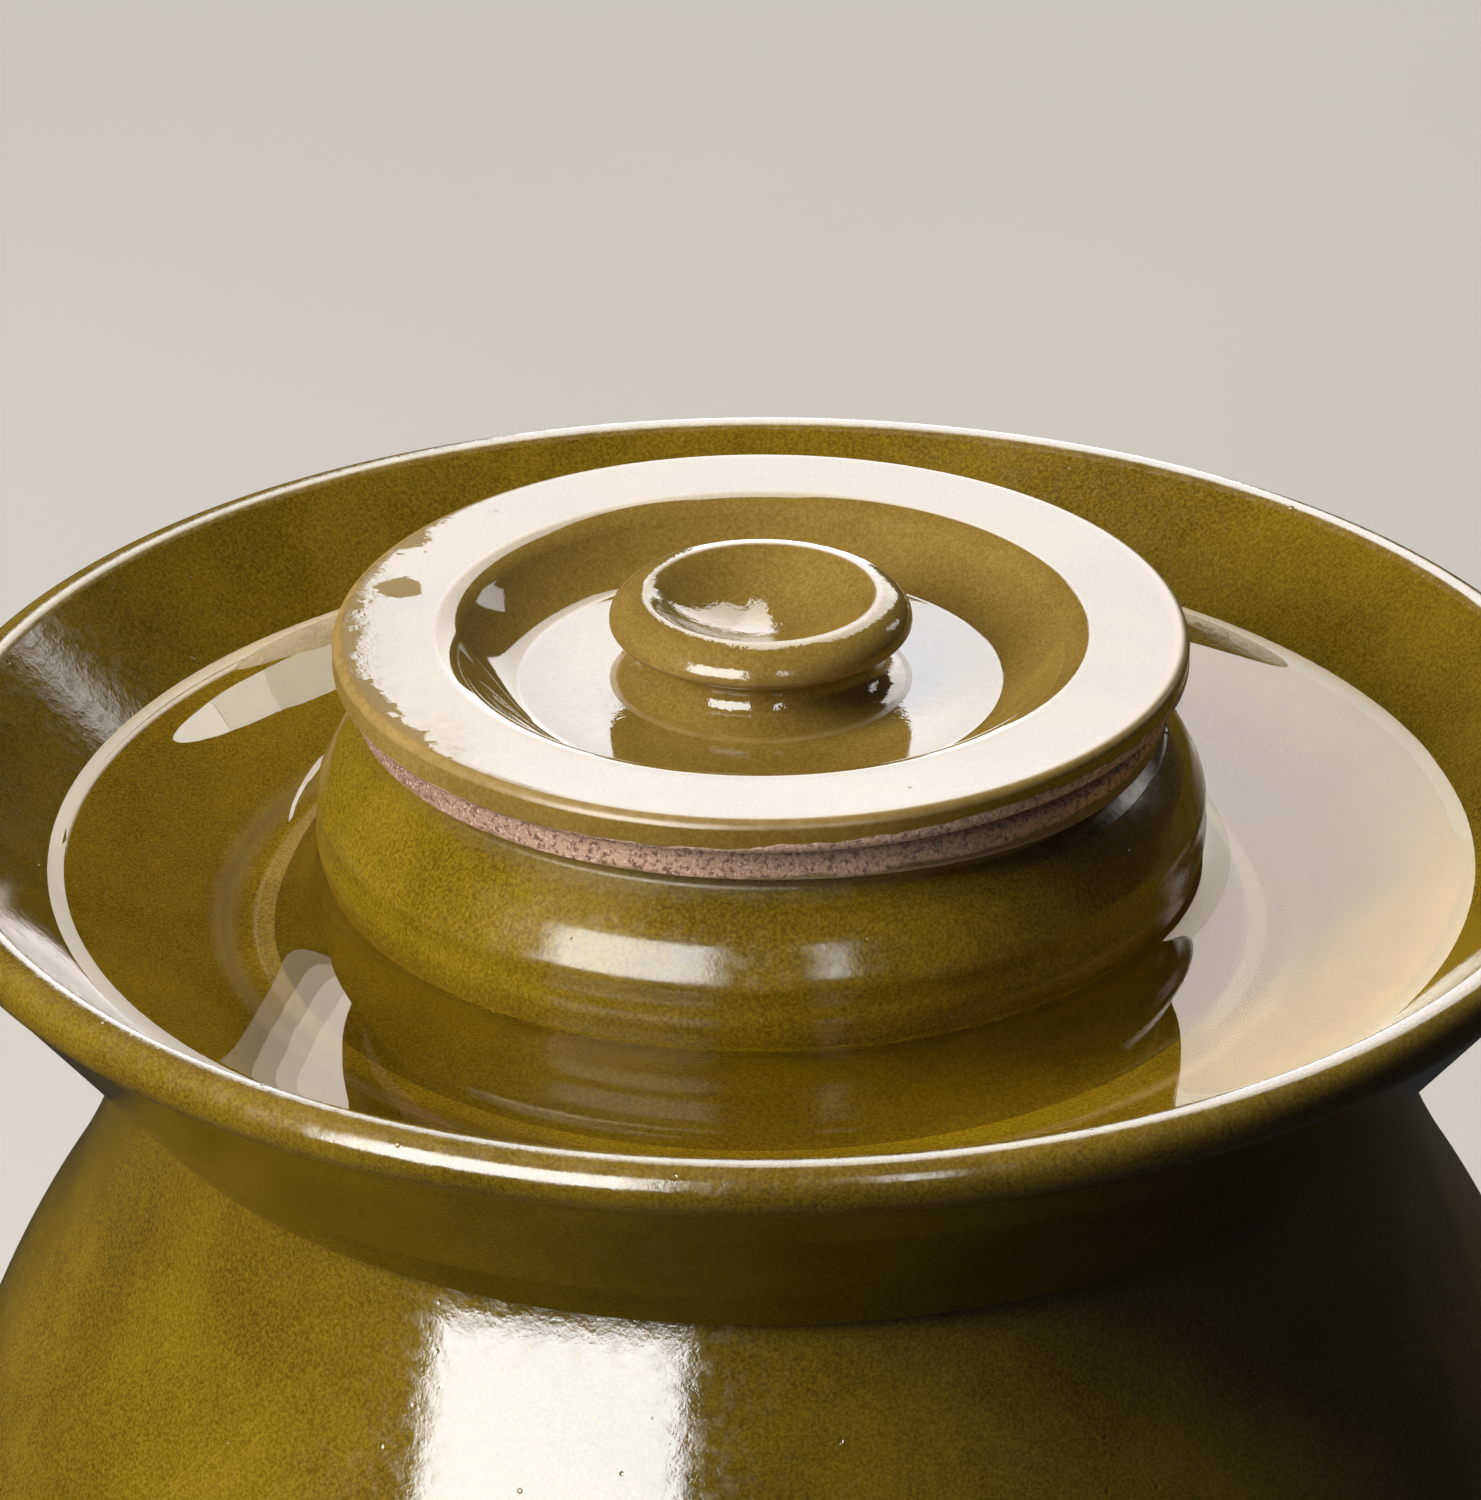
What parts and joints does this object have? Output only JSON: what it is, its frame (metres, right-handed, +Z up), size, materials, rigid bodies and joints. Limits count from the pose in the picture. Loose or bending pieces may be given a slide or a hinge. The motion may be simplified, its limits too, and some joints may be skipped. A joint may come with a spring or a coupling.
{
  "type": "water seal pickle jar",
  "caption": "Round-bellied glazed stoneware pickle jar with a flared water tray round the mouth and a loose flat lid with a dished knob in its well.",
  "frame": {"origin": "centre of the foot ring, on the table", "axes": "+Z up along the axis that the jar was turned on; X and Y are free, because the jar is round"},
  "size_m": [0.292, 0.292, 0.3566],
  "materials": {
    "glaze": "gloss",
    "collar_glaze": "gloss",
    "lid_glaze": "gloss",
    "bare_clay": "matte",
    "water": "polished"
  },
  "bodies": {
    "jar": {"jar_body": "glaze", "foot_ring": "bare_clay", "mouth_collar": "collar_glaze", "water_tray": "glaze", "seal_water": "water"},
    "lid": {"lid_plate": "lid_glaze", "lid_knob": "lid_glaze"}
  },
  "joints": [
    {"name": "lid_lift", "type": "slide", "parent": "jar", "child": "lid", "axis": [0, 0, 1], "range_m": [0, 0.25]}
  ]
}
